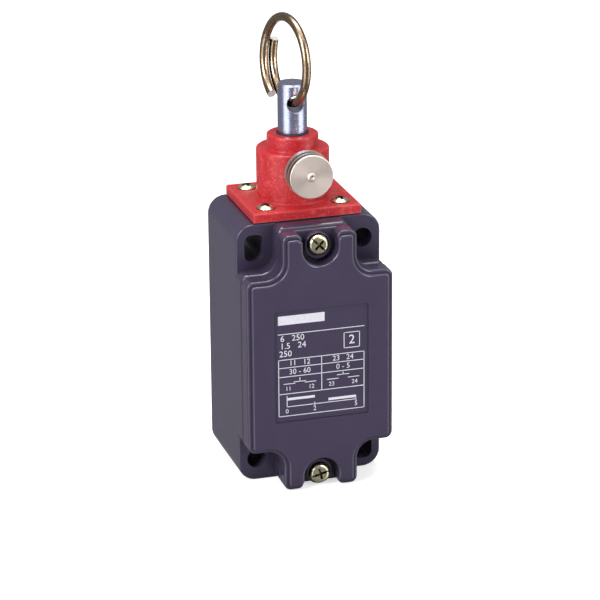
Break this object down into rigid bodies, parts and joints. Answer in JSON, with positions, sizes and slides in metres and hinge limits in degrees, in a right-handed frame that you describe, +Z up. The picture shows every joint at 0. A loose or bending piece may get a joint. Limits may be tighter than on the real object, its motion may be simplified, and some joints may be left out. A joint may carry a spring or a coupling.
{
  "type": "rope pull switch",
  "caption": "Safety switch with a dark moulded housing, a red head, a steel pull rod carrying a split ring for the rope, and a pull-to-reset knob.",
  "frame": {"origin": "centre of the fixing hole pattern on the housing's flat back face", "axes": "+Z up along the pull rod, -Y out of the cover towards the viewer, +X to the viewer's right"},
  "size_m": [0.0404, 0.0396, 0.1252],
  "materials": {
    "housing_plastic": "satin",
    "seal_rubber": "matt",
    "zinc_steel": "zinc plated",
    "head_red": "satin",
    "bearing_brass": "turned",
    "rod_steel": "turned",
    "spring_steel": "drawn wire",
    "ring_wire": "yellow passivated",
    "knob_metal": "turned",
    "block_plastic": "satin",
    "plunger_plastic": "satin",
    "contact_brass": "stamped"
  },
  "bodies": {
    "housing_body": {"housing": "housing_plastic", "cover": "housing_plastic", "cover_gasket": "seal_rubber", "cover_screws": "zinc_steel", "head": "head_red", "head_gasket": "seal_rubber", "head_screws": "zinc_steel", "rod_bush": "bearing_brass", "rod_wiper": "seal_rubber", "rod_spring": "spring_steel", "latch_bush": "bearing_brass", "latch_spring": "spring_steel", "contact_base": "block_plastic", "contact_lid": "block_plastic", "fixed_contacts": "contact_brass", "terminal_clamps": "zinc_steel", "terminal_screws": "zinc_steel", "block_screws": "zinc_steel"},
    "rod_body": {"pull_rod": "rod_steel", "spring_cup": "rod_steel", "rod_circlip": "spring_steel"},
    "plunger_body": {"contact_plunger": "plunger_plastic", "nc_bridge": "contact_brass", "no_bridge": "contact_brass", "bridge_springs": "spring_steel"},
    "knob_body": {"reset_knob": "knob_metal", "latch_pin": "rod_steel"},
    "ring_body": {"split_ring": "ring_wire"}
  },
  "joints": [
    {"name": "rod_pull", "type": "slide", "parent": "housing_body", "child": "rod_body", "axis": [0, 0, 1], "range_m": [0, 0.005], "stiffness_N_per_m": 2000, "springref_m": -0.01, "deforming": ["rod_spring"]},
    {"name": "plunger_slide", "type": "slide", "parent": "housing_body", "child": "plunger_body", "axis": [0, 0, 1], "range_m": [0, 0.005]},
    {"name": "reset_pull", "type": "slide", "parent": "housing_body", "child": "knob_body", "axis": [0, -1, 0], "range_m": [0, 0.0025], "stiffness_N_per_m": 1500, "springref_m": -0.003, "deforming": ["latch_spring"]},
    {"name": "ring_swing", "type": "hinge", "parent": "rod_body", "child": "ring_body", "pos_m": [0, -0.014, 0.06525], "axis": [0, 1, 0], "range_deg": [-135, 135]}
  ],
  "couplings": [
    {"joint": "plunger_slide", "follows": "rod_pull", "ratio": 1}
  ]
}
